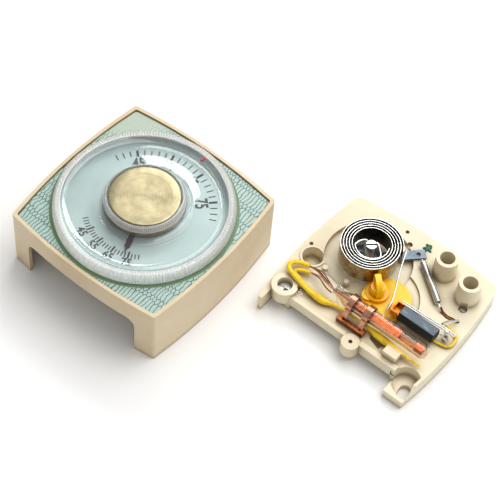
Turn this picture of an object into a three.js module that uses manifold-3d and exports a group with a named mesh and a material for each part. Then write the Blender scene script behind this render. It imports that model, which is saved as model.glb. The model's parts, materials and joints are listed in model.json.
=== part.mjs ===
// Wall thermostat, opened on a bench: the moulded cover with its dial and thermometer lies beside the base
// with its bimetal coil, set-point cam, magnet and glass contact tube. Millimetres, +Z up off the wall.
import * as THREE from 'three';
import { mergeVertices } from 'three/addons/utils/BufferGeometryUtils.js';
import Module from 'manifold-3d';

const wasm = await Module();
wasm.setup();

// Driving dimensions
const COVER_HALF = 42;            // half the chord between two cover corners
const COVER_BOW = 3.2;            // how far each cover side bows out between its corners
const COVER_WALL = 1.7;
const COVER_HEIGHT = 34;
const BASE_PLAY = 1.9;            // base outline inside the cover's outer face
const BASE_BOW = 3.2;
const PLATE_TOP = 9.5;            // upper face of the base plate above the wall
const PLATE_UNDER = 6.9;
const SKIRT = 2.4;                // wall of the base below the plate
const APART = { x: 100.3, y: 45.6 };  // from the cover's centre to the base's centre on the bench
const GAP = 0.3;                  // running and seating clearance
const RIM = 1.6;                  // width of the cover's rim round the face
const EDGE_CORNER = 1.5;          // plan radius of the cover's corners
const WINDOW = 41.3;              // radius of the round window in the face
const DIAL_RADIUS = 41.7;
const DECK_TOP = 31.5;            // inner deck of the cover, which carries face, scale and dial
const DECK_UNDER = 29.9;
const SHAFT_RADIUS = 2.6;
const BUSH_RADIUS = 4.2;
const HINGE = { x: 37.4, y: 1.6 };    // pivot of the magnet's lever
const COIL = { x: -14.8, y: 13.8, outer: 14.9, inner: 8.3, turns: 5, low: 11.6, high: 22 };
const CAM = { radius: 11.4, offset: 5, lobe: 7, low: 9, high: 11.2 };
const TUBE = { y: -14.6, z: 17, radius: 3.5, bore: 2.9, left: -8, right: 38 };
const POINTER_ANGLE = 291.4;      // degrees round the dial centre
const DRIVE_ANGLE = 137;          // degrees, drive tab of the cam and slot of the dial shaft

const COVER_HALF_WIDTH = COVER_HALF + COVER_BOW;
const BASE_HALF = COVER_HALF - BASE_PLAY;
const BASE_HALF_WIDTH = BASE_HALF + BASE_BOW;
const coverPlace = new THREE.Vector3(
  -(APART.x + BASE_HALF_WIDTH - COVER_HALF_WIDTH) / 2,
  -(APART.y + BASE_HALF_WIDTH - COVER_HALF_WIDTH) / 2, 0);

const finish = (color, roughness, metalness = 0) => new THREE.MeshStandardMaterial({ color, roughness, metalness });
const cream = finish('#e9dcb9', 0.5);
const paleCream = finish('#efe6c8', 0.5);
const patterned = finish('#bfd6cf', 0.45);
const silverPrint = finish('#c3cfd2', 0.4, 0.3);
const clearPlastic = new THREE.MeshStandardMaterial({ color: '#e8ece6', roughness: 0.1, transparent: true, opacity: 0.4 });
const glass = new THREE.MeshStandardMaterial({ color: '#f2efe6', roughness: 0.05, transparent: true, opacity: 0.35 });
const goldMetal = finish('#c9b183', 0.35, 0.9);
const brass = finish('#b08a4a', 0.35, 0.9);
const copper = finish('#b5561f', 0.35, 0.9);
const steel = finish('#aeb0ac', 0.3, 0.9);
const greySteel = finish('#5d666e', 0.45, 0.8);
const springSteel = finish('#8e877e', 0.35, 0.9);
const pointerPaint = finish('#2a1518', 0.5);
const yellow = finish('#ffd500', 0.45);
const magnetBlack = finish('#2e3438', 0.5, 0.2);

const cover = new THREE.Group();
cover.position.copy(coverPlace);
const base = new THREE.Group();
base.position.set(coverPlace.x + APART.x, coverPlace.y + APART.y, 0);
const thermostat = new THREE.Group();
thermostat.add(cover, base);

// ---- making solids ----

// A geometry's closed surface as a solid, turned the right way out.
function solid(geometry) {
  const bare = geometry.index ? geometry.toNonIndexed() : geometry.clone();
  bare.deleteAttribute('normal');
  bare.deleteAttribute('uv');
  const merged = mergeVertices(bare, 1e-4);
  const points = new Float32Array(merged.attributes.position.array);
  const triangles = dropSlivers(new Uint32Array(merged.index.array));
  if (signedVolume(points, triangles) < 0) {
    for (let i = 0; i < triangles.length; i += 3) {
      [triangles[i], triangles[i + 1]] = [triangles[i + 1], triangles[i]];
    }
  }
  return new wasm.Manifold(new wasm.Mesh({ numProp: 3, vertProperties: points, triVerts: triangles }));
}

function dropSlivers(triangles) {
  const kept = [];
  for (let i = 0; i < triangles.length; i += 3) {
    const [a, b, c] = triangles.slice(i, i + 3);
    if (a !== b && b !== c && c !== a) kept.push(a, b, c);
  }
  return new Uint32Array(kept);
}

function signedVolume(points, triangles) {
  const corner = (i) => new THREE.Vector3().fromArray(points, 3 * triangles[i]);
  let volume = 0;
  for (let i = 0; i < triangles.length; i += 3) {
    volume += corner(i).dot(corner(i + 1).cross(corner(i + 2)));
  }
  return volume;
}

function geometryOf(body) {
  const { vertProperties, triVerts } = body.getMesh();
  const geometry = new THREE.BufferGeometry();
  geometry.setAttribute('position', new THREE.BufferAttribute(new Float32Array(vertProperties), 3));
  geometry.setIndex(new THREE.BufferAttribute(new Uint32Array(triVerts), 1));
  geometry.computeVertexNormals();
  return geometry;
}

function piece(group, name, body, material) {
  const mesh = new THREE.Mesh(geometryOf(body), material);
  mesh.name = name;
  group.add(mesh);
}

const join = (...bodies) => bodies.reduce((whole, body) => whole.add(body));
const cut = (whole, ...tools) => tools.reduce((rest, tool) => rest.subtract(tool), whole);

function slab(shape, low, high, curveSegments = 8) {
  const geometry = new THREE.ExtrudeGeometry(shape, { depth: high - low, bevelEnabled: false, curveSegments });
  return solid(geometry.translate(0, 0, low));
}

function block(x0, x1, y0, y1, low, high) {
  const geometry = new THREE.BoxGeometry(x1 - x0, y1 - y0, high - low);
  return solid(geometry.translate((x0 + x1) / 2, (y0 + y1) / 2, (low + high) / 2));
}

function drum(x, y, low, high, radius, sides = 24, topRadius = radius) {
  const geometry = new THREE.CylinderGeometry(topRadius, radius, high - low, sides);
  return solid(geometry.rotateX(Math.PI / 2).translate(x, y, (low + high) / 2));
}

// Revolves a closed [radius, height] outline about the Z axis.
function turned(outline, sides) {
  const points = outline.map(([radius, height]) => new THREE.Vector2(radius, height));
  const geometry = new THREE.LatheGeometry(points, sides);
  return solid(geometry.rotateX(Math.PI / 2));
}

const ring = (low, high, inner, outer, sides = 32) =>
  turned([[inner, low], [outer, low], [outer, high], [inner, high], [inner, low]], sides);

function circleShape(radius, sides = 8) {
  const corners = Array.from({ length: sides }, (_, i) => {
    const angle = (2 * Math.PI * i) / sides;
    return new THREE.Vector2(radius * Math.cos(angle), radius * Math.sin(angle));
  });
  return new THREE.Shape(corners);
}

function wire(route, radius, steps, sides = 8) {
  const curve = new THREE.CatmullRomCurve3(route.map((point) => new THREE.Vector3(...point)), false, 'centripetal');
  const geometry = new THREE.ExtrudeGeometry(circleShape(radius, sides), {
    steps, extrudePath: curve, bevelEnabled: false });
  return solid(geometry);
}

// A square with bowed sides and rounded corners.
function bowedOutline(halfChord, bow, corner) {
  const shape = new THREE.Shape();
  const end = halfChord - corner;
  const height = halfChord + bow * (1 - (end / halfChord) ** 2);
  const crown = 2 * (halfChord + bow) - height;
  const turn = (x, y, side) => new THREE.Vector2(x, y).rotateAround(new THREE.Vector2(), (side * Math.PI) / 2);
  shape.moveTo(...turn(end, height, 0));
  for (let side = 0; side < 4; side++) {
    const middle = turn(0, crown, side);
    const finishPoint = turn(-end, height, side);
    const cornerPoint = turn(-height, height, side);
    const next = turn(end, height, side + 1);
    shape.quadraticCurveTo(middle.x, middle.y, finishPoint.x, finishPoint.y);
    shape.quadraticCurveTo(cornerPoint.x, cornerPoint.y, next.x, next.y);
  }
  return shape;
}

// A flat strip bent along a plan route, as a closed outline of the given thickness.
function stripShape(route, thickness) {
  const sideways = route.map((point, i) => {
    const before = route[Math.max(i - 1, 0)];
    const after = route[Math.min(i + 1, route.length - 1)];
    return new THREE.Vector2(-(after.y - before.y), after.x - before.x).setLength(thickness / 2);
  });
  const left = route.map((point, i) => point.clone().add(sideways[i]));
  const right = route.map((point, i) => point.clone().sub(sideways[i])).reverse();
  return new THREE.Shape([...left, ...right]);
}

const polar = (radius, degrees, x = 0, y = 0) =>
  new THREE.Vector2(x + radius * Math.cos(THREE.MathUtils.degToRad(degrees)),
    y + radius * Math.sin(THREE.MathUtils.degToRad(degrees)));

// ---- the cover ----

// One moulding: bowed walls, a deck for the face, and a wide notch with rounded top corners in one wall.
function coverShell() {
  const notch = { left: -31.8, right: 31.7, top: 22, fillet: 5 };
  const outer = slab(bowedOutline(COVER_HALF, COVER_BOW, EDGE_CORNER), 0, COVER_HEIGHT);
  const inside = slab(bowedOutline(COVER_HALF - COVER_WALL, COVER_BOW, EDGE_CORNER), -1, DECK_UNDER);
  const faceWell = slab(bowedOutline(COVER_HALF - RIM, COVER_BOW, EDGE_CORNER), DECK_TOP, COVER_HEIGHT + 1);
  const opening = new THREE.Shape();
  opening.moveTo(notch.left, -1);
  opening.lineTo(notch.right, -1);
  opening.lineTo(notch.right, notch.top - notch.fillet);
  opening.quadraticCurveTo(notch.right, notch.top, notch.right - notch.fillet, notch.top);
  opening.lineTo(notch.left + notch.fillet, notch.top);
  opening.quadraticCurveTo(notch.left, notch.top, notch.left, notch.top - notch.fillet);
  const doorway = new THREE.ExtrudeGeometry(opening, { depth: 12, bevelEnabled: false, curveSegments: 6 });
  doorway.rotateX(Math.PI / 2).translate(0, -COVER_HALF + 4, 0);
  const bushHole = drum(0, 0, DECK_UNDER - 1, DECK_TOP + 1, BUSH_RADIUS + GAP, 24);
  return cut(outer, inside, faceWell, solid(doorway), bushHole);
}

// Printed face plate in the well, with the round window that the dial turns in.
function facePlate() {
  const outline = bowedOutline(COVER_HALF - RIM - GAP, COVER_BOW, EDGE_CORNER);
  const window = drum(0, 0, DECK_TOP, COVER_HEIGHT, WINDOW, 64);
  return cut(slab(outline, DECK_TOP + GAP, COVER_HEIGHT - 1), window);
}

piece(cover, 'cover_shell', coverShell(), cream);
piece(cover, 'face_plate', facePlate(), patterned);
piece(cover, 'scale_plate', ring(DECK_TOP + GAP, 32.6, BUSH_RADIUS + GAP, WINDOW - GAP, 64), silverPrint);
// Flanged bush through the deck and scale plate: the dial shaft turns in it and the thermometer sits on it.
piece(cover, 'dial_bush', turned([
  [SHAFT_RADIUS + GAP, 28.2], [8, 28.2], [8, 29.6], [BUSH_RADIUS, 29.6], [BUSH_RADIUS, 39.1],
  [SHAFT_RADIUS + GAP, 39.1], [SHAFT_RADIUS + GAP, 28.2]], 24), brass);
// Brass cup that covers the thermometer coil, open below.
piece(cover, 'thermometer_cup', turned([
  [BUSH_RADIUS + GAP, 38.3], [12.6, 38.3], [15.7, 36.7], [15.7, 34.7], [16.4, 34.7], [16.4, 37.1], [13, 39],
  [BUSH_RADIUS + GAP, 39], [BUSH_RADIUS + GAP, 38.3]], 32), brass);

// Thermometer: a small bimetal spiral over the pointer, with its outer end held to the scale plate by a pin.
function spiralStrip(inner, outer, turns, start, thickness, stepsPerTurn, x = 0, y = 0) {
  const steps = Math.round(turns * stepsPerTurn);
  const route = Array.from({ length: steps + 1 }, (_, i) => {
    const along = i / steps;
    return polar(outer + (inner - outer) * along, start + 360 * turns * along, x, y);
  });
  return stripShape(route, thickness);
}

function thermometerPointer() {
  const hub = ring(33, 34.2, BUSH_RADIUS + GAP, 7, 24);
  const hand = new THREE.Shape([
    [6.2, -1.6], [10, -1.3], [23, -1.2], [23.3, -0.35], [26, -0.3], [26, 0.3], [23.3, 0.35], [23, 1.2], [10, 1.3], [6.2, 1.6]]
    .map(([x, y]) => new THREE.Vector2(x, y)
      .rotateAround(new THREE.Vector2(), THREE.MathUtils.degToRad(POINTER_ANGLE))));
  return join(hub, slab(hand, 33.2, 34));
}

piece(cover, 'thermometer_coil', slab(spiralStrip(5.2, 10.6, 3, 40, 0.5, 18), 34.7, 37.9), springSteel);
piece(cover, 'thermometer_pointer', thermometerPointer(), pointerPaint);
const coilPin = polar(11.5, 40);
piece(cover, 'thermometer_coil_pin', drum(coilPin.x, coilPin.y, 32.9, 37.9, 0.5, 12), steel);

// Clear moulded dial: deep rim, flat window ring and a central crown with a shallow seat for the gold disc.
piece(cover, 'clear_dial', turned([
  [0, 40], [SHAFT_RADIUS, 40], [15.8, 39.6], [16.6, 38.4], [20.2, 35.4], [36.6, 35.4], [38.2, 36.8], [39.5, 36.6],
  [39.9, 33.3], [DIAL_RADIUS, 33.3], [41.5, 36.2], [40.6, 38.5], [39.8, 38.9], [38.4, 38.8], [37.2, 37.8],
  [33.6, 37.1], [21.4, 37], [19.2, 38], [18.4, 40], [18.2, 42.4], [17.6, 43], [16.8, 43], [16.7, 42], [0, 42]], 64),
clearPlastic);
piece(cover, 'dial_disc', turned([
  [0, 42.3], [16.4, 42.3], [16.4, 42.9], [13, 43.1], [0, 42.8]], 48), goldMetal);

// Shaft under the dial: its lower end is a slotted sleeve that drops over the cam's drive tab.
function dialShaft() {
  const sleeve = { low: 18.3, high: 26.4, radius: 4.6, slot: 3.4 };
  const body = turned([
    [0, sleeve.low], [sleeve.radius, sleeve.low], [sleeve.radius, sleeve.high], [SHAFT_RADIUS, sleeve.high],
    [SHAFT_RADIUS, 39.6], [0, 39.6]], 24);
  const slot = new THREE.BoxGeometry(12, sleeve.slot, 10);
  slot.rotateZ(THREE.MathUtils.degToRad(DRIVE_ANGLE)).translate(0, 0, sleeve.low);
  return cut(body, solid(slot));
}
piece(cover, 'dial_shaft', dialShaft(), steel);
piece(cover, 'dial_retaining_ring', ring(26.9, 27.8, SHAFT_RADIUS + GAP, 5.6, 24), springSteel);

// ---- the base moulding ----

const SCREW_BOSS = { x: -34.6, y: -23.8, radius: 6.3, top: 12, bore: 3.65 };
const CORNER_SEAT = { x: 36.6, y: -26.6, radius: 6.4, floor: 3, hole: 2.9 };
const BLIND_POCKET = { x: -35.2, y: -2, radius: 5.1 };
const POSTS = [{ x: 16.1, y: 30.6 }, { x: 31.9, y: 26.3 }];
const POST = { top: 22, foot: 5.7, head: 5.4, bore: 3.6 };
const SMALL_SCREWS = [{ name: 'left', x: -27.7, y: -20.3 }, { name: 'right', x: 34.2, y: 20.1 }];
const RECESS_FLOOR = 7.2;         // round recess under the bimetal coil
const CAM_FLOOR = 8.3;            // shallow round recess that the cam turns in
const CAM_RECESS = { x: 0.8, y: 0.2, radius: 19.4 };
const LEDGE = -27;                // front edge of the plate between its two front corners
const FRONT = -35.4;              // front end of the leg and of the corner block
const BLOCK_TOP = 5;              // the corner block is lower than the plate

// The front left leg, the low front right block and the bay between them.
function frontCuts() {
  const bay = block(-38.7, 30.6, -60, LEDGE, -1, 20);
  const railGap = block(-38.7, 28.5, LEDGE - 1, LEDGE + SKIRT + 1, -1, 4.2);
  const beyond = block(-60, 60, -60, FRONT, -1, 20);
  const overBlock = block(28, 40.4, -60, LEDGE + 0.6, BLOCK_TOP, 20);
  const slope = new THREE.Shape([[-27, 20], [-27, PLATE_TOP], [-33.4, BLOCK_TOP], [-60, BLOCK_TOP], [-60, 20]]
    .map(([y, z]) => new THREE.Vector2(y, z)));
  const slopedWall = new THREE.ExtrudeGeometry(slope, { depth: 32, bevelEnabled: false });
  slopedWall.rotateX(Math.PI / 2).rotateZ(Math.PI / 2).translate(28, 0, 0);
  return [bay, railGap, beyond, overBlock, solid(slopedWall)];
}

// Round seat and long hole for the second wall screw, inside the outer wall.
function cornerSeat() {
  const { x, y, radius, floor, hole } = CORNER_SEAT;
  const seat = drum(x, y, floor, 20, radius, 32).intersect(slab(bowedOutline(BASE_HALF - 1.3, BASE_BOW, 4), 0, 30));
  const ends = [new THREE.Vector2(x + 1.2, y - 1.6), new THREE.Vector2(x + 1.7, y - 4.6)];
  return join(seat, slab(stripShape(ends, 2 * hole), -1, 20), ...ends.map((end) => drum(end.x, end.y, -1, 20, hole, 24)));
}

function basePlate() {
  const outline = bowedOutline(BASE_HALF, BASE_BOW, 5);
  const hollow = cut(slab(bowedOutline(BASE_HALF - SKIRT, BASE_BOW, 4), -1, PLATE_UNDER),
    block(-60, 60, -60, LEDGE + SKIRT, -2, 10));
  const cornerPad = drum(CORNER_SEAT.x, CORNER_SEAT.y, 0, PLATE_TOP, CORNER_SEAT.radius + 1.7, 32);
  const shell = cut(join(cut(slab(outline, 0, PLATE_TOP), hollow), cornerPad), ...frontCuts());
  const rails = [
    block(-30, 2, LEDGE, LEDGE + 2, PLATE_TOP - 1, 10),
    block(9.8, 30.4, LEDGE, LEDGE + 2.8, PLATE_TOP - 1, 10.5),
  ];
  const boss = cut(drum(SCREW_BOSS.x, SCREW_BOSS.y, 0, SCREW_BOSS.top, SCREW_BOSS.radius, 32),
    block(-50, -20, -40, LEDGE, -1, 5));
  const cup = drum(BLIND_POCKET.x, BLIND_POCKET.y, 1.2, PLATE_UNDER + 1, BLIND_POCKET.radius + 1.2, 24);
  const collar = drum(BLIND_POCKET.x, BLIND_POCKET.y, PLATE_UNDER, PLATE_TOP + 0.5, BLIND_POCKET.radius + 1, 32);
  const recessPad = drum(COIL.x, COIL.y, 5, PLATE_UNDER + 1, 22.4, 36);
  const lug = drum(6, LEDGE - 0.8, 3.5, 10.3, 4.3, 24);
  const posts = POSTS.map(({ x, y }) => drum(x, y, PLATE_UNDER, POST.top, POST.foot, 20, POST.head));
  const leadBlock = block(20.7, 28, -24.2, -19.8, PLATE_UNDER, 14);
  const hingeBoss = drum(HINGE.x, HINGE.y, PLATE_UNDER, 12, 1.3, 16);
  const pegs = [drum(-26.7, -3.7, PLATE_UNDER, 11, 1.3, 12), drum(-14.7, -3.5, PLATE_UNDER, 11.2, 1.2, 12)];
  const screwSeats = SMALL_SCREWS.map(({ x, y }) => drum(x, y, 2, PLATE_UNDER + 1, 3.2, 16));
  const whole = join(shell, ...rails, boss, cup, collar, recessPad, lug, ...posts, leadBlock, hingeBoss, ...screwSeats);
  const recesses = [
    drum(COIL.x, COIL.y, RECESS_FLOOR, 20, 21, 36),
    drum(CAM_RECESS.x, CAM_RECESS.y, CAM_FLOOR, PLATE_TOP + 0.2, CAM_RECESS.radius, 36),
  ];
  const holes = [
    drum(SCREW_BOSS.x, SCREW_BOSS.y, 6, 13, SCREW_BOSS.bore, 24),
    drum(SCREW_BOSS.x, SCREW_BOSS.y, -1, 7, 2.4, 16),
    cornerSeat(),
    drum(BLIND_POCKET.x, BLIND_POCKET.y, 2.5, 20, BLIND_POCKET.radius, 32),
    drum(COIL.x, COIL.y, 0, 10, SHAFT_RADIUS + GAP, 16),
    drum(6, LEDGE - 0.8, 0, 20, 1, 12),
    drum(-40.3, 3.4, 8, 20, 1, 12),
    drum(-10.3, 38.4, 7.6, 20, 1, 12),
    drum(-5.2, 33.3, 7.6, 20, 1.4, 12),
    drum(HINGE.x, HINGE.y, 10, 14, 0.75, 12),
    ...POSTS.map(({ x, y }) => drum(x, y, 0, 30, POST.bore, 20)),
    ...SMALL_SCREWS.map(({ x, y }) => drum(x, y, 3, 12, 1.2 + GAP, 12)),
    ...SMALL_SCREWS.map(({ x, y }) => drum(x, y, 7, 13, 2.1, 16)),
  ];
  const slotRoute = [new THREE.Vector2(27.6, 12.6), new THREE.Vector2(31, 11.9), new THREE.Vector2(34.9, 12.6)];
  const anchorSlot = slab(stripShape(slotRoute, 2), 8, 20);
  const triangle = new THREE.Shape([[-29.6, 3.6], [-26.6, 2.8], [-28, 6.4]].map(([x, y]) => new THREE.Vector2(x, y)));
  const leadPocket = new THREE.Shape([[10.6, -18.6], [18.6, -18], [17.6, -22.6], [11.4, -20.4]]
    .map(([x, y]) => new THREE.Vector2(x, y)));
  const camPivot = drum(0, 0, CAM_FLOOR - 1, 12.2, 2.2, 16);
  const trimmed = cut(whole, ...recesses, ...holes, anchorSlot, slab(triangle, 7.4, 20), slab(leadPocket, 7.4, 20));
  return join(trimmed, camPivot, ...pegs).intersect(slab(outline, -1, 40));
}
piece(base, 'base_plate', basePlate(), paleCream);

// Captive wall screw in the tall boss, cross recess up.
function screw(x, y, low, seat, top, shank, head) {
  const body = join(drum(x, y, low, seat + 0.2, shank, 12), drum(x, y, seat, top, head, 20));
  const slot = block(x - head - 1, x + head + 1, y - 0.4, y + 0.4, top - 0.6, top + 1);
  return cut(body, slot);
}
piece(base, 'wall_screw', screw(SCREW_BOSS.x, SCREW_BOSS.y, 0.4, 6.3, 8.6, 2.1, 3.3), steel);
for (const { name, x, y } of SMALL_SCREWS) {
  piece(base, `plate_screw_${name}`, screw(x, y, 3.4, 7.3, 8.3, 1.2, 1.8), steel);
}

// ---- set-point cam ----

// Eccentric disc on the base's pivot, with a stepped hub, a low lobe and the tall drive fin, rounded at its top,
// that the dial shaft straddles.
function setPointCam() {
  const centre = polar(CAM.offset, CAM.lobe);
  const fin = new THREE.Shape();
  fin.moveTo(-3.8, 11);
  fin.lineTo(5, 11);
  fin.lineTo(5, 19.4);
  fin.quadraticCurveTo(4.8, 21.6, 3, 21.6);
  fin.quadraticCurveTo(-3.6, 21, -3.8, 15);
  const tab = new THREE.ExtrudeGeometry(fin, { depth: 2.8, bevelEnabled: false, curveSegments: 5 });
  tab.translate(0, 0, -1.4).rotateX(Math.PI / 2).rotateZ(THREE.MathUtils.degToRad(DRIVE_ANGLE));
  const lobe = polar(4.4, 236);
  const body = join(
    drum(centre.x, centre.y, CAM.low, CAM.high, CAM.radius, 48),
    drum(0, 0, CAM.low, 13, 5.3, 28),
    drum(0, 0, CAM.low, 17.6, 3.4, 24),
    drum(lobe.x, lobe.y, CAM.low, 12.6, 3, 20),
    solid(tab));
  return cut(body, drum(0, 0, CAM.low - 1, 12.5, 2.2 + GAP, 16));
}
piece(base, 'set_point_cam', setPointCam(), yellow);

// ---- arbor, its arm and the return spring ----

const ARM_ANGLE = 46;
function arborArm() {
  const root = polar(4, ARM_ANGLE, COIL.x, COIL.y);
  const tip = polar(26.8, ARM_ANGLE, COIL.x, COIL.y);
  const hole = polar(23.4, ARM_ANGLE, COIL.x, COIL.y);
  const plate = join(
    drum(COIL.x, COIL.y, 9.9, 10.9, 5.2, 24),
    slab(stripShape([root, tip], 4.8), 9.9, 10.9));
  return cut(plate, drum(COIL.x, COIL.y, 9, 12, SHAFT_RADIUS + GAP, 16), drum(hole.x, hole.y, 9, 12, 1, 12));
}

// Split post: the coil's inner end is gripped in its slot.
function arborPost() {
  const post = drum(COIL.x, COIL.y, 3.6, 21.6, SHAFT_RADIUS, 20);
  const split = new THREE.BoxGeometry(8, 0.9, 10);
  split.rotateZ(THREE.MathUtils.degToRad(40)).translate(COIL.x, COIL.y, 21.6);
  return cut(post, solid(split));
}

// Bent strip between the post and the inside of the coil's first turn.
function coilClip() {
  const bends = [[0.8, 3.3], [3.8, 1.3], [6.7, -1.7], [5.8, -4], [2.9, -6.4], [0, -7.1], [-3.2, -6.5], [-6.1, -4.2],
    [-5.6, -1.6], [-4.6, 0.6], [-3.2, 1.4]];
  const route = bends.map(([x, y]) => new THREE.Vector2(COIL.x + x, COIL.y + y));
  return slab(stripShape(route, 0.7), 12.5, 20.6);
}
piece(base, 'arbor_post', arborPost(), steel);
piece(base, 'arbor_arm', arborArm(), greySteel);
piece(base, 'coil_clip', coilClip(), springSteel);
piece(base, 'arbor_lock_ring', ring(3.7, 4.6, SHAFT_RADIUS + GAP, 5.4, 20).translate([COIL.x, COIL.y, 0]), steel);

// Extension spring from the arm's tip to its anchor wire: the solid is the spring's outer envelope.
const SPRING = { from: [4.9, 28.5, 11.6], to: [25.4, 13.5, 11.6], radius: 1.6 };
piece(base, 'arm_spring', wire([SPRING.from, SPRING.to], SPRING.radius, 1, 10), springSteel);
piece(base, 'spring_anchor', wire([
  [26.3, 13.1, 11.7], [27.3, 12.8, 11], [28.8, 12.2, 9.7], [31, 11.9, 9.2], [34.2, 12.4, 9.2]], 0.6, 12), copper);

// ---- bimetal coil ----

const COIL_END_ANGLE = 25;
piece(base, 'bimetal_coil', slab(spiralStrip(COIL.inner, COIL.outer, COIL.turns, COIL_END_ANGLE, 0.6, 24,
  COIL.x, COIL.y), COIL.low, COIL.high), springSteel);

// Stiff wire welded to the coil's free end: it reaches across the cam to the end of the magnet.
const tailStart = polar(COIL.outer + 1.1, COIL_END_ANGLE, COIL.x, COIL.y);
piece(base, 'tail_wire', wire([
  [tailStart.x - 0.9, tailStart.y + 2.2, 20.2], [tailStart.x, tailStart.y, 20], [3.2, 11.6, 18.6],
  [6, 5.6, 16.8], [8.3, 0.4, 15.4], [9, -2.4, 14.4], [9.3, -5.4, 13.4]], 0.45, 16), steel);

// ---- magnet and its hinge ----

function magnetBar() {
  const width = 3.5;
  const height = 2.8;
  const bevel = 1.3;
  const section = new THREE.Shape([
    [-width, -height + bevel], [-width + bevel, -height], [width - bevel, -height], [width, -height + bevel],
    [width - bevel * 0.6, height], [-width + bevel, height]].map(([x, y]) => new THREE.Vector2(x, y)));
  const bar = new THREE.ExtrudeGeometry(section, { depth: 19.1, bevelEnabled: false });
  bar.rotateX(Math.PI / 2).rotateZ(Math.PI / 2).translate(15.5, -3.2, 14.9);
  return solid(bar);
}
function magnetCarrier() {
  const body = block(11, 15.2, -6.4, 0.1, 13.6, 17.4);
  return cut(body, block(12, 16, -5.6, -0.7, 14.6, 20));
}
function hingeWire() {
  const eye = ring(14.9, 15.9, 0.75, 1.4, 16).translate([HINGE.x, HINGE.y, 0]);
  return join(eye, wire([[12.8, 1.3, 15.9], [24, 1.7, 15.9], [33, 2.3, 15.8], [HINGE.x, 2.8, 15.4], [41.2, 2.5, 15]], 0.5, 14));
}
piece(base, 'magnet', magnetBar(), magnetBlack);
piece(base, 'magnet_carrier', magnetCarrier(), copper);
piece(base, 'hinge_wire', hingeWire(), steel);
piece(base, 'hinge_pin', drum(HINGE.x, HINGE.y, 10.2, 16.2, 0.45, 12), steel);
// Formed wire spring beside the hinge, with its legs spread on the base.
piece(base, 'hinge_fork_upper', wire([[33.2, 3.8, 15.4], [34, 7.4, 14], [35.4, 10.8, 12], [36.3, 13.2, 10.2]],
  0.5, 12), steel);
piece(base, 'hinge_fork_lower', wire([[35.4, -0.6, 14.6], [37.6, -0.5, 13.1], [39.6, -0.3, 11.9]], 0.5, 8), steel);

// ---- glass contact tube ----

// Sealed glass tube with a drawn-down neck at the left, where the leads leave it.
function glassTube() {
  const { left, right, radius, bore } = TUBE;
  const outline = [
    [0.7, left - 6], [1.3, left - 6], [1.5, left - 3], [radius, left + 1.4], [radius, right - 1.2],
    [radius - 1, right], [0, right], [0, right - 0.8], [bore - 0.8, right - 0.8], [bore, right - 1.6],
    [bore, left + 1.8], [0.8, left - 2.6], [0.7, left - 6]];
  const points = outline.map(([r, x]) => new THREE.Vector2(r, x));
  const geometry = new THREE.LatheGeometry(points, 20);
  geometry.rotateZ(-Math.PI / 2).translate(0, TUBE.y, TUBE.z);
  return solid(geometry);
}
piece(base, 'glass_tube', glassTube(), glass);
const inTube = (x0, x1, halfWidth, low, high) =>
  block(x0, x1, TUBE.y - halfWidth, TUBE.y + halfWidth, TUBE.z + low, TUBE.z + high);
piece(base, 'fixed_contact_blade', inTube(7.4, 23, 2.2, 0.6, 1), copper);
piece(base, 'moving_contact_blade', inTube(4.4, 31, 0.9, -1.5, -1.1), copper);
piece(base, 'contact_armature', inTube(31.4, 35.6, 1.7, -1.4, 1.6), copper);
piece(base, 'contact_support', inTube(-3, 3.8, 1.7, -1, 1), steel);

// Copper bands round the tube, each with a leg down to the window bracket.
function tubeBand(x) {
  const band = solid(new THREE.LatheGeometry([
    [TUBE.radius + GAP, -1.5], [TUBE.radius + 0.9, -1.5], [TUBE.radius + 0.9, 1.5], [TUBE.radius + GAP, 1.5],
    [TUBE.radius + GAP, -1.5]].map(([r, h]) => new THREE.Vector2(r, h)), 20)
    .rotateZ(Math.PI / 2).translate(x, TUBE.y, TUBE.z));
  const leg = new THREE.Shape([[-18.3, 16.5], [-19, 16.5], [-20.8, 12.5], [-20, 12.5]]
    .map(([y, z]) => new THREE.Vector2(y, z)));
  const legBody = new THREE.ExtrudeGeometry(leg, { depth: 2.4, bevelEnabled: false });
  legBody.rotateX(Math.PI / 2).rotateZ(Math.PI / 2).translate(x - 1.2, 0, 0);
  return join(band, solid(legBody));
}
piece(base, 'tube_band_left', tubeBand(-3.1), copper);
piece(base, 'tube_band_right', tubeBand(5.9), copper);
piece(base, 'tube_bracket', cut(
  block(-6, 8.6, -22.9, -19.4, 9.8, 12.2), block(-3.6, 6.4, -21.8, -18, 10.8, 13)), copper);

// ---- leads ----

const LEAD = 0.95;                // radius over the yellow insulation
const leadRoutes = {
  lead_outer: [[-32, -9, 12.6], [-36.6, -10.2, 12.4], [-39.2, -13.2, 13], [-38, -16.8, 14], [-32.4, -18.6, 13.4],
    [-23.3, -19.8, 12], [-16.5, -19.6, 11.6], [-10.4, -17.6, 11.4], [-4, -17, 11.2], [6, -17, 11.2],
    [13, -17.8, 11.4], [20, -18.4, 11.8], [29.8, -18.9, 12], [37.6, -18.9, 12]],
  lead_inner: [[-29.6, -11.6, 12.4], [-33.4, -12.6, 11.8], [-35.6, -14.2, 11.4], [-35.2, -15.6, 11.2],
    [-31.5, -16.6, 11], [-24.2, -18.2, 10.6], [-16, -17.6, 10.6]],
};
piece(base, 'lead_outer', wire(leadRoutes.lead_outer, LEAD, 48), yellow);
piece(base, 'lead_inner', wire(leadRoutes.lead_inner, LEAD, 24), yellow);
piece(base, 'lead_right', wire([[33.2, 7, 10.6], [36, 6.9, 10.6], [38.8, 6.3, 10.6], [41, 4.7, 10.6], [41.8, 2.2, 10.6],
  [41.6, -0.4, 10.6], [40, -2, 10.6], [37.4, -2.6, 10.6], [34, -3, 10.6], [30, -3.4, 10.6]], LEAD, 26), yellow);
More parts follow.
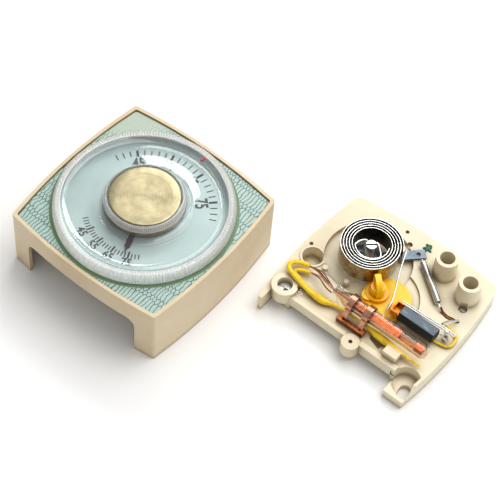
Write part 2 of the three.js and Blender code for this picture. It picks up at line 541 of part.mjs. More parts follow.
piece(base, 'bare_lead_upper', wire([[-31.4, -8.9, 12.7], [-26, -9.6, 14.4], [-19.6, -12.4, 16.4],
  [-14.8, -14.4, 17], [-4.6, -14.6, 17]], 0.35, 20, 6), copper);
piece(base, 'bare_lead_lower', wire([[-28.9, -11.4, 12.6], [-24, -12.2, 14], [-18.6, -14.6, 14.6],
  [-14.6, -15.8, 15.6]], 0.35, 14, 6), copper);
piece(base, 'bridge_wire', wire([[-27.6, -6.4, 10.4], [-20, -8, 13.6], [-12, -10.6, 15.4], [-4, -10.2, 15.4],
  [3, -10.4, 15.2]], 0.35, 16, 6), steel);

export default thermostat;
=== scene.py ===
"""An opened wall thermostat on a white bench: its cover with dial and thermometer, and its base with the works."""
import json
import math

import bmesh
import bpy
import numpy as np
from mathutils import Matrix, Vector


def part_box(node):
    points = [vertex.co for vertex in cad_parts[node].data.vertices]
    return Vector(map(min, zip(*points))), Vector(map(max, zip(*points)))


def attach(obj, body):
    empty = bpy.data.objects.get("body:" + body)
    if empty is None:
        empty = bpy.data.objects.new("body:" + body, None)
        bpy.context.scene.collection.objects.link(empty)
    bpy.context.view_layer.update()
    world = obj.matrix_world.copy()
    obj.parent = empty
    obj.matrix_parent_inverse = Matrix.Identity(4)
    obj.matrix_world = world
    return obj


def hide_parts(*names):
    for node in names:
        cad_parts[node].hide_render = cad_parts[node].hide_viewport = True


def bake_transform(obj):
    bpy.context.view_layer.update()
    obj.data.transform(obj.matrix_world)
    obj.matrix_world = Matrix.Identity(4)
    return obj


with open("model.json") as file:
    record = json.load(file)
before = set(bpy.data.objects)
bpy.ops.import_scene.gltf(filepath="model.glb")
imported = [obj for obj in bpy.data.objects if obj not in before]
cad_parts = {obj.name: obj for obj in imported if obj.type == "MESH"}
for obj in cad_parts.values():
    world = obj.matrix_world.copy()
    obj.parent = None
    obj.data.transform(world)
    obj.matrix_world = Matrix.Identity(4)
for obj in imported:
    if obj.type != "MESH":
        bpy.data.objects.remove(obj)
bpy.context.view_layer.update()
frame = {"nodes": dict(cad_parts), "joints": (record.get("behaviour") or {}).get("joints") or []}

# ---- camera ----
# A long lens looks steeply down from the front right, tipped a little clockwise, so that both halves lie
# across the frame. Nothing here belongs to the object.
aim = Vector((-0.0121, 0.01085, 0.0))
distance = 0.8043
azimuth, elevation, roll = (math.radians(angle) for angle in (34.5, 55.1, 5.56))
level = Vector((math.cos(azimuth), math.sin(azimuth), 0))
back = Vector((math.sin(azimuth) * math.cos(elevation), -math.cos(azimuth) * math.cos(elevation),
               math.sin(elevation)))
rise = back.cross(level)
across = level * math.cos(roll) + rise * math.sin(roll)
upward = rise * math.cos(roll) - level * math.sin(roll)
lens = bpy.data.cameras.new("camera")
lens.lens = 123.5
lens.sensor_width = 36
camera = bpy.data.objects.new("camera", lens)
camera.matrix_world = Matrix((across, upward, back)).transposed().to_4x4()
camera.matrix_world.translation = aim + back * distance
bpy.context.scene.collection.objects.link(camera)
bpy.context.scene.camera = camera

# ---- bench and light ----
# A white bench under a soft white tent: one broad lamp high behind the object, a smaller one that faces the
# camera and draws glints along wires and tubes, and a dome that darkens towards the horizon so that metal has
# something dark to mirror.
MM = 0.001


def linear(code):
    """An sRGB hex colour as linear red, green, blue and alpha."""
    s = np.array([int(code[i:i + 2], 16) / 255 for i in (1, 3, 5)])
    return (*np.where(s <= 0.04045, s / 12.92, ((s + 0.055) / 1.055) ** 2.4).tolist(), 1.0)


def add(tree, kind, inputs, **settings):
    """Adds one node with its settings. Each input gets a number or colour, or a link from a socket."""
    node = tree.nodes.new("ShaderNode" + kind)
    for name, value in settings.items():
        setattr(node, name, value)
    join(tree, node, inputs)
    return node


def join(tree, node, inputs):
    """Gives each named input of a node its number or colour, or links the socket that feeds it."""
    for name, value in inputs.items():
        if isinstance(value, bpy.types.NodeSocket):
            tree.links.new(value, node.inputs[name])
        else:
            node.inputs[name].default_value = value


def finish(name):
    """A new material, its node tree and its Principled shader."""
    material = bpy.data.materials.new(name)
    material.use_nodes = True
    return material, material.node_tree, material.node_tree.nodes["Principled BSDF"]


def build(name, points, faces, smooth=35):
    """A mesh object from points in millimetres, its doubles merged and its faces turned outwards."""
    mesh = bpy.data.meshes.new(name)
    mesh.from_pydata((np.asarray(points).reshape(-1, 3) * MM).tolist(), [], [list(face) for face in faces])
    shape = bmesh.new()
    shape.from_mesh(mesh)
    bmesh.ops.remove_doubles(shape, verts=shape.verts, dist=1e-7)
    bmesh.ops.recalc_face_normals(shape, faces=shape.faces)
    shape.to_mesh(mesh)
    shape.free()
    mesh.shade_smooth()
    mesh.set_sharp_from_angle(angle=math.radians(smooth))
    piece = bpy.data.objects.new(name, mesh)
    bpy.context.scene.collection.objects.link(piece)
    return piece


def quads(rows, columns, wrap_rows=False, wrap_columns=False):
    """Faces between neighbouring points of a grid, joined round at the ends where asked."""
    i = np.arange(rows if wrap_rows else rows - 1)[:, None]
    j = np.arange(columns if wrap_columns else columns - 1)[None, :]
    near, far, right = i * columns, (i + 1) % rows * columns, (j + 1) % columns
    corners = np.broadcast_arrays(near + j, far + j, far + right, near + right)
    return np.stack(corners, -1).reshape(-1, 4).tolist()


bench_half = 1500.0
u, v = np.meshgrid(np.linspace(-1, 1, 9), np.linspace(-1, 1, 9), indexing="ij")
bench = build("bench", np.stack([u * bench_half, v * bench_half, 0 * u - 0.05], -1), quads(9, 9))
if bench.data.polygons[0].normal.z < 0:
    bench.data.flip_normals()
bench_paint, tree, shader = finish("white_bench_paint")
place = add(tree, "TexCoord", {})
mottle = add(tree, "TexNoise", {"Vector": place.outputs["Object"], "Scale": 9.0, "Detail": 2.0})
tint = add(tree, "Mix", {0: mottle.outputs[0], 6: linear("#F6F6F5"), 7: linear("#FBFBFA")}, data_type="RGBA")
join(tree, shader, {"Base Color": tint.outputs[2], "Roughness": 0.7, "Specular IOR Level": 0.2})
bench.data.materials.append(bench_paint)


def lamp(name, direction, away, width, depth, power):
    """A soft rectangular lamp that faces the middle of the bench."""
    light = bpy.data.lights.new(name, "AREA")
    light.shape = "RECTANGLE"
    light.size, light.size_y, light.energy = width, depth, power
    holder = bpy.data.objects.new(name, light)
    holder.location = Vector(direction).normalized() * away
    holder.rotation_euler = Vector(direction).to_track_quat("Z", "Y").to_euler()
    bpy.context.scene.collection.objects.link(holder)


lamp("broad_lamp", (0.22, 0.42, 1.0), 1.1, 0.9, 0.9, 8.6)
lamp("glint_lamp", (-0.324, 0.6, 0.73), 1.0, 0.4, 0.15, 1.8)
dome = bpy.data.worlds.new("tent")
dome.use_nodes = True
bpy.context.scene.world = dome
tree = dome.node_tree
direction = add(tree, "TexCoord", {})
height = add(tree, "SeparateXYZ", {"Vector": direction.outputs["Generated"]})
ramp = add(tree, "ValToRGB", {"Fac": height.outputs["Z"]})
ramp.color_ramp.elements[0].position = 0.02
ramp.color_ramp.elements[0].color = (0.45, 0.45, 0.45, 1)
ramp.color_ramp.elements[1].position = 0.55
ramp.color_ramp.elements[1].color = (0.92, 0.92, 0.92, 1)
join(tree, tree.nodes["Background"], {"Color": ramp.outputs["Color"], "Strength": 0.62})
bpy.context.scene.view_settings.view_transform = "Standard"

# ---- cover moulding ----
# The cover is one injection moulding in aged cream ABS: four bowed walls, a deck for the face and a wide
# notch in the lower wall. The tool leaves small round edges and a fine satin grain.
pivot = {joint["name"]: np.array(joint["pos_m"]) / MM for joint in frame["joints"] if "pos_m" in joint}
COVER = pivot["dial_turn"] * [1, 1, 0]
BASE = pivot["cam_turn"] * [1, 1, 0]


def refined(node, name, edge, steps=3, flat=0.5, sharp=32):
    """A copy of a CAD node's mesh with its triangles merged into whole faces, and small round edges."""
    mesh = frame["nodes"][node].data.copy()
    mesh.name = name
    shape = bmesh.new()
    shape.from_mesh(mesh)
    bmesh.ops.remove_doubles(shape, verts=shape.verts, dist=2e-6)
    bmesh.ops.dissolve_limit(shape, angle_limit=math.radians(flat), verts=shape.verts, edges=shape.edges)
    shape.to_mesh(mesh)
    shape.free()
    if "custom_normal" in mesh.attributes:
        mesh.attributes.remove(mesh.attributes["custom_normal"])
    mesh.materials.clear()
    mesh.shade_smooth()
    mesh.set_sharp_from_angle(angle=math.radians(sharp))
    piece = bpy.data.objects.new(name, mesh)
    bpy.context.scene.collection.objects.link(piece)
    if edge:
        rounding = piece.modifiers.new("round_edges", "BEVEL")
        rounding.width = edge * MM
        rounding.segments = steps
        rounding.limit_method = "ANGLE"
        rounding.angle_limit = math.radians(sharp + 6)
        rounding.harden_normals = True
    return piece


def fit(piece, material, body, slot, *nodes):
    """Coats a piece and mounts it on a body in place of the CAD nodes that it stands for; slot is not used."""
    piece.data.materials.append(material)
    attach(piece, body)
    if nodes:
        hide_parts(*nodes)
    return piece


def sheltered(tree, reach, colour, shade, depth=1.0):
    """A colour that turns to shade where neighbouring walls close a surface in, within reach in
    millimetres."""
    cover = add(tree, "AmbientOcclusion", {"Distance": reach * MM}, samples=8)
    closed = add(tree, "MapRange", {0: cover.outputs["AO"], 1: 0.45, 2: 0.95, 3: depth, 4: 0.0})
    return add(tree, "Mix", {0: closed.outputs[0], 6: colour, 7: linear(shade)}, data_type="RGBA").outputs[2]


def moulded_plastic(name, tone, aged, grime_and_painted_shade, roughness, soft=0.0):
    """Moulded thermoplastic: an even body colour that has yellowed in patches, painted shade in its corners, a
    satin grain of about half a millimetre, and faint handling marks that change only the gloss."""
    material, tree, shader = finish(name)
    place = add(tree, "TexCoord", {}).outputs["Object"]
    patches = add(tree, "TexNoise", {"Vector": place, "Scale": 28.0, "Detail": 3.0, "Roughness": 0.6})
    amount = add(tree, "MapRange", {0: patches.outputs[0], 1: 0.38, 2: 0.68, 3: 0.0, 4: 1.0})
    colour = add(tree, "Mix", {0: amount.outputs[0], 6: linear(tone), 7: linear(aged)}, data_type="RGBA")
    marks = add(tree, "Mapping", {"Vector": place, "Scale": (240.0, 1500.0, 600.0)})
    marks.inputs["Rotation"].default_value = (0.0, 0.0, 0.7)
    handling = add(tree, "TexNoise", {"Vector": marks.outputs[0], "Scale": 1.0, "Detail": 4.0})
    gloss = add(tree, "MapRange", {0: handling.outputs[0], 1: 0.3, 2: 0.7, 3: roughness - 0.08,
                                   4: roughness + 0.08})
    grain = add(tree, "TexNoise", {"Vector": place, "Scale": 1900.0, "Detail": 2.0})
    relief = add(tree, "Bump", {"Height": grain.outputs[0], "Strength": 0.16, "Distance": 0.00005})
    # Painted shade: the colour turns to the shade colour where neighbouring walls close the surface in.
    corner_shaded_colour = sheltered(tree, 4.0, colour.outputs[2], grime_and_painted_shade, 0.75)
    join(tree, shader, {"Base Color": corner_shaded_colour, "Roughness": gloss.outputs[0], "IOR": 1.53,
                        "Normal": relief.outputs[0], "Subsurface Weight": soft,
                        "Subsurface Radius": (1.0, 0.75, 0.45), "Subsurface Scale": 0.0015})
    return material


# Its third colour is painted shade, laid into the corners that neighbouring walls close in.
cream_abs = moulded_plastic("aged_cream_abs", "#DECBA8", "#D3BC97", "#937A58", 0.42, 0.05)
fit(refined("cover_shell", "cover_moulding", 0.32), cream_abs, "cover", "cream_plastic", "cover_shell")

# ---- face plate ----
# A thin styrene plate lies in the well of the cover round the dial. It is screen printed with a reptile-scale
# pattern in dark sage on pale turquoise, with an olive line round the window.
face_print, tree, shader = finish("screen_printed_styrene")
LONG_SCALE, SHORT_SCALE, SCALE_WIDTH, POINT = 7.0, 2.3, 1.75, 0.6
LINE, OLIVE_EDGE = 0.17, 43.0


def calc(tree, operation, *values):
    """One arithmetic step on numbers or sockets."""
    return add(tree, "Math", dict(enumerate(values)), operation=operation).outputs[0]


place = add(tree, "TexCoord", {})
local = add(tree, "Mapping", {"Vector": place.outputs["Object"], "Location": (-COVER).tolist(),
                              "Scale": (1 / MM,) * 3})
drift = add(tree, "TexNoise", {"Vector": local.outputs[0], "Scale": 0.16, "Detail": 2.0})
warped = add(tree, "VectorMath", {0: drift.outputs["Color"], 1: (3.4, 3.4, 0.0), 2: local.outputs[0]},
             operation="MULTIPLY_ADD")
axes = add(tree, "SeparateXYZ", {"Vector": warped.outputs[0]})
# Pointed scales in rows: a long row, then a short row set half a scale sideways. The line follows the nearer
# of the side walls and the zigzag between two rows, boundary = long / 2 + point (4 dx / width - 1).
pitch = LONG_SCALE + SHORT_SCALE
column = calc(tree, "PINGPONG", axes.outputs["X"], SCALE_WIDTH / 2)
row = calc(tree, "PINGPONG", axes.outputs["Y"], pitch / 2)
boundary = calc(tree, "MULTIPLY_ADD", column, 4 * POINT / SCALE_WIDTH, LONG_SCALE / 2 - POINT)
over = calc(tree, "SUBTRACT", row, boundary)
slanted = calc(tree, "DIVIDE", calc(tree, "ABSOLUTE", over), math.hypot(1, 4 * POINT / SCALE_WIDTH))
in_short = calc(tree, "GREATER_THAN", over, 0.0)
other_wall = calc(tree, "SUBTRACT", SCALE_WIDTH / 2, column)
wall = add(tree, "Mix", {0: in_short, 2: column, 3: other_wall}).outputs[0]
nearest = calc(tree, "MINIMUM", slanted, wall)
line = add(tree, "MapRange", {0: nearest, 1: LINE * 0.7, 2: LINE * 1.5, 3: 1.0, 4: 0.0})
true_axes = add(tree, "SeparateXYZ", {"Vector": local.outputs[0]})
cornerwards = calc(tree, "SUBTRACT", true_axes.outputs["Y"], true_axes.outputs["X"])
bare = add(tree, "MapRange", {0: cornerwards, 1: 57.0, 2: 66.0, 3: 1.0, 4: 0.12})
drawn = calc(tree, "MULTIPLY", line.outputs[0], bare.outputs[0])
cloud = add(tree, "TexNoise", {"Vector": local.outputs[0], "Scale": 0.5, "Detail": 2.0})
ground = add(tree, "Mix", {0: cloud.outputs[0], 6: linear("#9DB8AF"), 7: linear("#B4C9BF")}, data_type="RGBA")
paled = add(tree, "Mix", {0: bare.outputs[0], 6: linear("#B2BDAA"), 7: ground.outputs[2]}, data_type="RGBA")
printed = add(tree, "Mix", {0: drawn, 6: paled.outputs[2], 7: linear("#41655F")}, data_type="RGBA")
flat_place = add(tree, "CombineXYZ", {"X": true_axes.outputs["X"], "Y": true_axes.outputs["Y"]})
reach = add(tree, "VectorMath", {0: flat_place.outputs[0]}, operation="LENGTH")
olive = add(tree, "MapRange", {0: reach.outputs["Value"], 1: OLIVE_EDGE - 0.1, 2: OLIVE_EDGE + 0.1, 3: 1.0,
                               4: 0.0})
whole = add(tree, "Mix", {0: olive.outputs[0], 6: printed.outputs[2], 7: linear("#5F7D52")}, data_type="RGBA")
raised = add(tree, "Bump", {"Height": drawn, "Strength": 0.25, "Distance": 0.00004})
join(tree, shader, {"Base Color": whole.outputs[2], "Roughness": 0.36, "IOR": 1.55,
                    "Normal": raised.outputs[0]})
fit(refined("face_plate", "printed_face_plate", 0.12, 2), face_print, "cover", "patterned_face", "face_plate")

# ---- scale plate ----
# A disc of thin aluminium, painted silver blue and baked, lies under the dial. The flake in the paint gives
# it a soft metallic sheen.
silver_paint, tree, shader = finish("silver_blue_baked_paint")
place = add(tree, "TexCoord", {}).outputs["Object"]
flake = add(tree, "TexNoise", {"Vector": place, "Scale": 2600.0, "Detail": 2.0})
spread = add(tree, "TexNoise", {"Vector": place, "Scale": 45.0, "Detail": 2.0})
mixed = add(tree, "Math", {0: flake.outputs[0], 1: 0.45, 2: spread.outputs[0]}, operation="MULTIPLY_ADD")
shine = add(tree, "MapRange", {0: mixed.outputs[0], 1: 0.45, 2: 1.0, 3: 0.0, 4: 1.0})
colour = add(tree, "Mix", {0: shine.outputs[0], 6: linear("#93A3A5"), 7: linear("#A7B4B4")},
             data_type="RGBA")
gloss = add(tree, "MapRange", {0: flake.outputs[0], 1: 0.3, 2: 0.7, 3: 0.36, 4: 0.48})
join(tree, shader, {"Base Color": colour.outputs[2], "Roughness": gloss.outputs[0], "Metallic": 0.25})


def coat(material, *nodes):
    """Gives CAD nodes that stay in view their material."""
    for node in nodes:
        piece = frame["nodes"][node]
        piece.data.materials.clear()
        piece.data.materials.append(material)


fit(refined("scale_plate", "painted_scale_plate", 0.1, 2), silver_paint, "cover", "silver_scale",
    "scale_plate")

# ---- scale printing ----
# Both scales are printed in black on the plate: the set-point scale at the top right runs from 39 to 81
# degrees and the thermometer scale at the bottom left from 37 to 81, both in steps of two.
ink, tree, shader = finish("black_screen_ink")
place = add(tree, "TexCoord", {}).outputs["Object"]
wear = add(tree, "TexNoise", {"Vector": place, "Scale": 900.0, "Detail": 3.0})
colour = add(tree, "Mix", {0: wear.outputs[0], 6: linear("#131516"), 7: linear("#2B2F31")}, data_type="RGBA")
join(tree, shader, {"Base Color": colour.outputs[2], "Roughness": 0.5})
PLATE_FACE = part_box("scale_plate")[1].z / MM
INK = 0.04


def bars(angles, inner, outer, width):
    """Radial bars of ink: eight corners each, at angle a, radius r and sideways w, at two heights."""
    a = np.radians(angles)[:, None]
    r = np.broadcast_to(np.asarray([inner, inner, outer, outer] * 2, float).T, (len(angles), 8))
    half_width = np.broadcast_to(np.asarray(width, float), (len(angles),))[:, None] / 2
    w = np.asarray([-1, 1, 1, -1] * 2) * half_width
    z = np.broadcast_to([PLATE_FACE] * 4 + [PLATE_FACE + INK] * 4, r.shape)
    points = np.stack([r * np.cos(a) - w * np.sin(a), r * np.sin(a) + w * np.cos(a), z], -1) + COVER
    corner = np.array([[3, 2, 1, 0], [4, 5, 6, 7], [0, 1, 5, 4], [1, 2, 6, 5], [2, 3, 7, 6], [3, 0, 4, 7]])
    faces = (np.arange(len(angles))[:, None, None] * 8 + corner).reshape(-1, 4)
    return points.reshape(-1, 3), faces


def numeral(text, size, angle, radius, turn, narrow):
    """Points and faces of a number set across the ray at an angle; turn is 1 with tops out, -1 with
    tops in, and narrow squeezes its width."""
    curve = bpy.data.curves.new("numeral", "FONT")
    curve.body, curve.size, curve.extrude, curve.offset = text, size, INK / 2, size * 0.03
    curve.align_x, curve.align_y = "CENTER", "CENTER"
    curve.space_character = 1.04
    holder = bpy.data.objects.new("numeral", curve)
    bpy.context.scene.collection.objects.link(holder)
    bpy.context.view_layer.update()
    mesh = bpy.data.meshes.new_from_object(holder.evaluated_get(bpy.context.evaluated_depsgraph_get()))
    points = np.array([vertex.co for vertex in mesh.vertices])
    faces = [list(face.vertices) for face in mesh.polygons]
    bpy.data.objects.remove(holder)
    bpy.data.meshes.remove(mesh)
    a = math.radians(angle)
    x, y = points[:, 0] * narrow, points[:, 1]
    out, side = radius + turn * y, -turn * x
    placed = np.stack([out * math.cos(a) - side * math.sin(a), out * math.sin(a) + side * math.cos(a),
                       points[:, 2] + PLATE_FACE + INK / 2], -1)
    return placed + COVER, faces


def gather(parts):
    """Several lots of points and faces as one."""
    counts = np.cumsum([0] + [len(points) for points, _ in parts])
    faces = [[int(i) + int(start) for i in face] for start, (_, lot) in zip(counts, parts) for face in lot]
    return np.vstack([points for points, _ in parts]), faces


SET_AT_75, SET_STEP = 47.0, -3.0          # degrees round the dial at 75, and for each degree of temperature
ROOM_AT_75, ROOM_STEP = 295.5, 1.65
set_marks = np.arange(39, 82, 2)
set_fine = SET_AT_75 + SET_STEP * (set_marks - 75)
tens = np.array([45, 55, 65, 75])
room_marks = np.arange(37, 82, 2)
room_fine = ROOM_AT_75 + ROOM_STEP * (room_marks - 75.0)
printing = [
    bars(set_fine, 29.6, 33.0, 0.6),
    bars(SET_AT_75 + SET_STEP * (tens - 75.0), 29.2, 33.2, 1.15),
    bars(room_fine, 25.7, 28.4, 0.55),
    bars(ROOM_AT_75 + ROOM_STEP * (tens - 75.0), 24.8, 28.6, 0.9),
]
printing += [numeral(str(t), 8.4, SET_AT_75 + SET_STEP * (t - 75), 25.4, 1, 0.68) for t in tens]
printing += [numeral(str(t), 5.7, ROOM_AT_75 + ROOM_STEP * (t - 75), 31.0, -1, 0.84) for t in tens]
fit(build("scale_printing", *gather(printing)), ink, "cover", "silver_scale")

# ---- bush, cup and thermometer coil ----
# The dial shaft turns in a brass bush that is staked through the deck. A drawn brass cup under the crown
# hides the small bimetal spiral that turns the thermometer's pointer.


def drawn_metal(name, light, dark, roughness, spacing, stretch=(1.0, 1.0, 1.0), stain=0.35, metallic=1.0):
    """Metal with the lines that drawing or rolling leaves: noise drawn out along the wire or strip, spacing
    in millimetres across the lines, with a slow stain over it."""
    material, tree, shader = finish(name)
    place = add(tree, "TexCoord", {}).outputs["Object"]
    scaled = add(tree, "Mapping", {"Vector": place, "Scale": tuple(s / (spacing * MM) for s in stretch)})
    lines = add(tree, "TexNoise", {"Vector": scaled.outputs[0], "Scale": 1.0, "Detail": 3.0})
    stains = add(tree, "TexNoise", {"Vector": place, "Scale": 330.0, "Detail": 4.0, "Roughness": 0.6})
    amount = add(tree, "MapRange", {0: stains.outputs[0], 1: 0.4, 2: 0.72, 3: 0.0, 4: stain})
    tarnish = add(tree, "Math", {0: lines.outputs[0], 1: 0.25, 2: amount.outputs[0]},
                  operation="MULTIPLY_ADD")
    colour = add(tree, "Mix", {0: tarnish.outputs[0], 6: linear(light), 7: linear(dark)}, data_type="RGBA")
    gloss = add(tree, "MapRange", {0: lines.outputs[0], 1: 0.25, 2: 0.75, 3: roughness * 0.7,
                                   4: roughness * 1.3})
    relief = add(tree, "Bump", {"Height": lines.outputs[0], "Strength": 0.2, "Distance": 0.00002})
    join(tree, shader, {"Base Color": colour.outputs[2], "Roughness": gloss.outputs[0], "Metallic": metallic,
                        "Normal": relief.outputs[0]})
    return material


def soften(points, reach, steps=5, closed=False):
    """A line of points with each corner replaced by a short quadratic arc between points cut back from it:
    (1-t)^2 before + 2t(1-t) corner + t^2 after."""
    p = np.asarray(points, float)
    t = np.linspace(0, 1, steps)[None, :, None]
    sides = [np.roll(p, shift, 0) - p for shift in (1, -1)]
    lengths = [np.maximum(np.linalg.norm(side, axis=1, keepdims=True), 1e-9) for side in sides]
    before, after = (side * np.minimum(0.45, reach / length) for side, length in zip(sides, lengths))
    corner = p[:, None]
    start_side, stop_side = corner + before[:, None], corner + after[:, None]
    arcs = (1 - t) ** 2 * start_side + 2 * t * (1 - t) * corner + t ** 2 * stop_side
    if closed:
        return arcs.reshape(-1, p.shape[1])
    return np.vstack([p[:1], arcs[1:-1].reshape(-1, p.shape[1]), p[-1:]])


def turned(name, profile, centre, steps=96, ripple=0.0, closed=False, smooth=35):
    """A profile of radius and height turned about an upright axis: x = r cos a, y = r sin a, z = height.
    ripple is added to the radius and height at each angle and profile point."""
    angle = np.linspace(0, 2 * math.pi, steps, endpoint=False)[:, None]
    rings = np.broadcast_to(profile, (steps, *profile.shape)) + ripple
    radius, height = rings[..., 0], rings[..., 1]
    points = np.stack([radius * np.cos(angle), radius * np.sin(angle), height], -1) + centre
    return build(name, points, quads(steps, len(profile), True, closed), smooth)


yellow_brass = drawn_metal("drawn_yellow_brass", "#A98F76", "#5E4632", 0.34, 0.5)
cup_wall = [[4.6, 38.3], [12.6, 38.3], [15.7, 36.7], [15.7, 34.7], [16.4, 34.7], [16.4, 37.1], [13.0, 39.0],
            [4.6, 39.0]]
fit(turned("thermometer_cup_drawn", soften(cup_wall, 0.25, 4, True), COVER, 96, closed=True), yellow_brass,
    "cover", "brass", "thermometer_cup")
coat(yellow_brass, "dial_bush")
spring_steel = drawn_metal("drawn_spring_steel", "#B9B2A6", "#5E574E", 0.28, 0.35)
coat(spring_steel, "thermometer_coil", "thermometer_coil_pin", "dial_retaining_ring")

# ---- thermometer pointer ----
# A stamped aluminium hand, sprayed dark maroon: a ring round the bush, a broad bar, and a fine tip that
# reaches the scale.
maroon, tree, shader = finish("maroon_enamel")
place = add(tree, "TexCoord", {}).outputs["Object"]
pool = add(tree, "TexNoise", {"Vector": place, "Scale": 700.0, "Detail": 2.0})
colour = add(tree, "Mix", {0: pool.outputs[0], 6: linear("#241012"), 7: linear("#3A1C1E")}, data_type="RGBA")
skin = add(tree, "Bump", {"Height": pool.outputs[0], "Strength": 0.2, "Distance": 0.00003})
join(tree, shader, {"Base Color": colour.outputs[2], "Roughness": 0.3, "Normal": skin.outputs[0]})
HAND_ANGLE = math.radians(291.4)
reach_along = np.array([4.7, 6.9, 7.4, 22.6, 23.1, 23.3])
half_wide = np.array([2.2, 1.75, 1.3, 1.25, 1.1, 0.6])
edge_line = soften(np.vstack([np.stack([reach_along, half_wide], -1),
                              np.stack([reach_along, -half_wide], -1)[::-1]]), 0.25, 3, True)


def slab(name, outline, low, high, angle, centre):
    """A flat outline given thickness: the outline at two heights, turned to an angle about the centre."""
    count = len(outline)
    x = outline[:, 0] * math.cos(angle) - outline[:, 1] * math.sin(angle)
    y = outline[:, 0] * math.sin(angle) + outline[:, 1] * math.cos(angle)
    rings = np.stack([np.stack([x, y, np.full(count, z)], -1) for z in (low, high)]) + centre
    caps = [list(range(count)), list(range(count, 2 * count))]
    return build(name, rings, quads(2, count, False, True) + caps)


hand = slab("pointer_hand", edge_line, 33.25, 33.95, HAND_ANGLE, COVER)
fit(hand, maroon, "pointer", "pointer_paint")
tip_line = np.array([[23.0, -0.34], [26.4, -0.22], [26.4, 0.22], [23.0, 0.34]])
fit(slab("pointer_tip", tip_line, 33.35, 33.85, HAND_ANGLE, COVER), spring_steel, "pointer", "pointer_paint")
fit(refined("thermometer_pointer", "pointer_hub", 0.1, 2), maroon, "pointer", "pointer_paint",
    "thermometer_pointer")

# ---- clear dial ----
# The dial is one clear acrylic moulding, polished in the tool: a deep rim with fine flutes for the fingers, a
# dished window over the scale, and a knurled crown that frames the gold disc.
acrylic, tree, shader = finish("clear_moulded_acrylic")
place = add(tree, "TexCoord", {}).outputs["Object"]
haze = add(tree, "TexNoise", {"Vector": place, "Scale": 140.0, "Detail": 4.0, "Roughness": 0.65})
gloss = add(tree, "MapRange", {0: haze.outputs[0], 1: 0.4, 2: 0.75, 3: 0.015, 4: 0.06})
join(tree, shader, {"Base Color": linear("#F7FAF8"), "Roughness": gloss.outputs[0], "IOR": 1.49,
                    "Transmission Weight": 1.0})
open_shadow = add(tree, "BsdfTransparent", {"Color": (0.93, 0.94, 0.93, 1.0)})
ray = add(tree, "LightPath", {})
either = add(tree, "MixShader", {0: ray.outputs["Is Shadow Ray"], 1: shader.outputs[0],
                                 2: open_shadow.outputs[0]})
join(tree, tree.nodes["Material Output"], {"Surface": either.outputs[0]})
dial_wall = np.array([
    [0, 40.0], [2.6, 40.0], [15.6, 39.7], [16.6, 38.6], [20.0, 35.7], [27.0, 35.3], [34.6, 35.5],
    [36.4, 35.4], [38.2, 36.8], [39.5, 36.6], [39.9, 33.3], [41.7, 33.3], [41.5, 36.2], [40.6, 38.5],
    [39.8, 38.9], [38.4, 38.8], [37.2, 37.8], [34.2, 37.2], [28.0, 36.9], [22.0, 37.1], [19.6, 38.2],
    [18.5, 40.0], [18.3, 42.3], [17.7, 43.0], [16.9, 43.0], [16.7, 42.0], [0, 42.0]])
profile = soften(dial_wall, 0.9, 4)
DIAL_STEPS, RIM_FLUTES, CROWN_FLUTES = 950, 190, 118
turn = np.linspace(0, 2 * math.pi, DIAL_STEPS, endpoint=False)[:, None]
radius, height = profile[:, 0], profile[:, 1]
on_wall = np.clip((radius - 40.1) / 0.4, 0, 1) * np.clip((height - 33.4) / 0.4, 0, 1)
on_top = np.clip((radius - 38.0) / 0.5, 0, 1) * np.clip((height - 37.4) / 0.6, 0, 1)
on_crown = np.clip((radius - 17.5) / 0.3, 0, 1) * (radius < 19.0) * np.clip((height - 39.6) / 0.4, 0, 1)
rim_wave = np.abs(np.sin(RIM_FLUTES / 2 * turn)) ** 0.8
crown_wave = np.abs(np.sin(CROWN_FLUTES / 2 * turn)) ** 0.8
ripple = np.stack([-0.5 * on_wall * rim_wave - 0.34 * on_crown * crown_wave,
                   -0.45 * on_top * rim_wave - 0.2 * on_crown * (height > 42) * crown_wave], -1)
dial = fit(turned("clear_dial_moulding", profile, COVER, DIAL_STEPS, ripple, smooth=60), acrylic, "dial",
           "clear_plastic", "clear_dial")
# Fingers and the cutter leave the flutes of the rim and the crown scuffed, so the same clear acrylic is
# rough and half opaque there.
frosted, tree, shader = finish("scuffed_acrylic_flutes")
place = add(tree, "TexCoord", {}).outputs["Object"]
scuffs = add(tree, "TexNoise", {"Vector": place, "Scale": 800.0, "Detail": 3.0})
gloss = add(tree, "MapRange", {0: scuffs.outputs[0], 1: 0.35, 2: 0.7, 3: 0.08, 4: 0.22})
join(tree, shader, {"Base Color": linear("#FFFEFA"), "Roughness": gloss.outputs[0], "IOR": 1.49,
                    "Transmission Weight": 0.5})
dial.data.materials.append(frosted)
middle = np.array([face.center for face in dial.data.polygons]) / MM - COVER
away = np.hypot(middle[:, 0], middle[:, 1])
rim_faces = (away > 37.6) & (middle[:, 2] > 37.2) | (away > 40.3)
knurl_faces = (away > 17.2) & (away < 18.8) & (middle[:, 2] > 39.6)
dial.data.polygons.foreach_set("material_index", (rim_faces | knurl_faces).astype(np.int32))

# The set-point mark is a short line of red paint in a groove near the dial's rim.
red_paint, tree, shader = finish("red_index_paint")
place = add(tree, "TexCoord", {}).outputs["Object"]
pool = add(tree, "TexNoise", {"Vector": place, "Scale": 1500.0, "Detail": 2.0})
colour = add(tree, "Mix", {0: pool.outputs[0], 6: linear("#C4161F"), 7: linear("#D8303A")}, data_type="RGBA")
join(tree, shader, {"Base Color": colour.outputs[2], "Roughness": 0.4})
MARK_FOOT, MARK_TOP, MARK_ANGLE = 37.1, 38.1, math.radians(84)
mark = np.array([[34.9, -0.42], [37.6, -0.42], [37.6, 0.42], [34.9, 0.42]])
fit(slab("set_point_mark", soften(mark, 0.2, 3, True), MARK_FOOT, MARK_TOP, MARK_ANGLE, COVER), red_paint,
    "dial", "pointer_paint")

